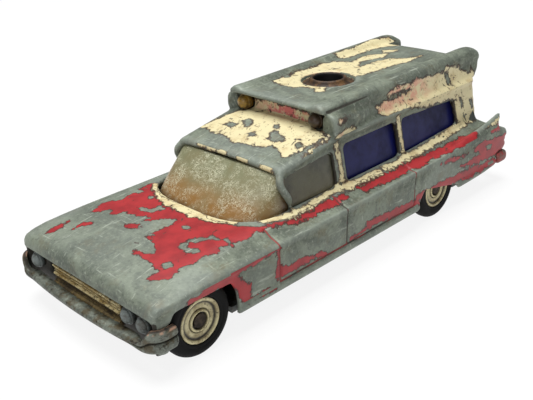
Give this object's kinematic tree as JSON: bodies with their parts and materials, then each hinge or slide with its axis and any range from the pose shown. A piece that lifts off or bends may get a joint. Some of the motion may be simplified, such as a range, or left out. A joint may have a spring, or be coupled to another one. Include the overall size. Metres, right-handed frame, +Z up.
{
  "type": "toy ambulance",
  "caption": "Long die-cast toy ambulance with tail fins, raised roof deck with an empty lamp socket, sprung axles with free wheels, tinted windows and a battery in the floor.",
  "frame": {"origin": "middle of the bounding box on the ground plane under the tyres", "axes": "+X forward, +Y to the left side, +Z up"},
  "size_m": [0.113, 0.044, 0.0337],
  "materials": {
    "zinc_paint": "bare die-cast metal with worn red and cream paint",
    "base_paint": "worn dark paint on metal",
    "steel": "dull steel",
    "bumper_metal": "dull bare die-cast metal",
    "tarnished_plate": "tarnished plated metal",
    "lamp_plastic": "dull plated lamp",
    "red_plastic": "red plastic lens",
    "clear_plastic": "yellowed clear plastic, scratched",
    "blue_plastic": "dark blue tinted plastic",
    "amber_plastic": "amber plastic lens",
    "collar_brass": "dark tarnished brass",
    "fibre": "insulating fibre",
    "contact_brass": "dull brass strip",
    "black_plastic": "black moulded plastic",
    "cell_jacket": "plain jacket of a dry cell",
    "ivory_plastic": "moulded plastic",
    "rusty_steel": "rusty steel rod",
    "hub_paint": "cream painted hub, dirty",
    "tyre_rubber": "black rubber"
  },
  "bodies": {
    "car": {"body_casting": "zinc_paint", "base_plate": "base_paint", "base_rivets": "steel", "front_bumper": "bumper_metal", "rear_bumper": "bumper_metal", "grille": "tarnished_plate", "headlamps": "lamp_plastic", "tail_lamps": "red_plastic", "front_glazing": "clear_plastic", "rear_glazing": "blue_plastic", "left_roof_lamp": "amber_plastic", "right_roof_lamp": "amber_plastic", "lamp_socket": "collar_brass", "socket_insulator": "fibre", "lamp_contact": "contact_brass", "lamp_lead": "contact_brass", "battery_tray": "black_plastic", "dry_cell": "cell_jacket", "front_cell_contact": "contact_brass", "rear_cell_contact": "contact_brass", "switch_contact": "contact_brass", "front_spring": "steel", "rear_spring": "steel"},
    "front_axle_body": {"front_axle": "rusty_steel"},
    "rear_axle_body": {"rear_axle": "rusty_steel"},
    "hatch": {"battery_hatch": "base_paint"},
    "switch": {"switch_slider": "ivory_plastic"},
    "front_left_wheel": {"front_left_hub": "hub_paint", "front_left_tyre": "tyre_rubber"},
    "front_right_wheel": {"front_right_hub": "hub_paint", "front_right_tyre": "tyre_rubber"},
    "rear_left_wheel": {"rear_left_hub": "hub_paint", "rear_left_tyre": "tyre_rubber"},
    "rear_right_wheel": {"rear_right_hub": "hub_paint", "rear_right_tyre": "tyre_rubber"}
  },
  "joints": [
    {"name": "front_suspension", "type": "slide", "parent": "car", "child": "front_axle_body", "axis": [0, 0, 1], "range_m": [0, 0.0005], "stiffness_N_per_m": 400, "springref_m": -0.004, "deforming": ["front_spring"]},
    {"name": "rear_suspension", "type": "slide", "parent": "car", "child": "rear_axle_body", "axis": [0, 0, 1], "range_m": [0, 0.0005], "stiffness_N_per_m": 400, "springref_m": -0.004, "deforming": ["rear_spring"]},
    {"name": "front_left_spin", "type": "hinge", "parent": "front_axle_body", "child": "front_left_wheel", "pos_m": [0.0442, 0.0189, 0.007], "axis": [0, 1, 0], "continuous": true},
    {"name": "front_right_spin", "type": "hinge", "parent": "front_axle_body", "child": "front_right_wheel", "pos_m": [0.0442, -0.0189, 0.007], "axis": [0, 1, 0], "continuous": true},
    {"name": "rear_left_spin", "type": "hinge", "parent": "rear_axle_body", "child": "rear_left_wheel", "pos_m": [-0.0262, 0.0189, 0.007], "axis": [0, 1, 0], "continuous": true},
    {"name": "rear_right_spin", "type": "hinge", "parent": "rear_axle_body", "child": "rear_right_wheel", "pos_m": [-0.0262, -0.0189, 0.007], "axis": [0, 1, 0], "continuous": true},
    {"name": "hatch_slide", "type": "slide", "parent": "car", "child": "hatch", "axis": [-1, 0, 0], "range_m": [0, 0.024]},
    {"name": "switch_slide", "type": "slide", "parent": "car", "child": "switch", "axis": [1, 0, 0], "range_m": [0, 0.003]}
  ]
}
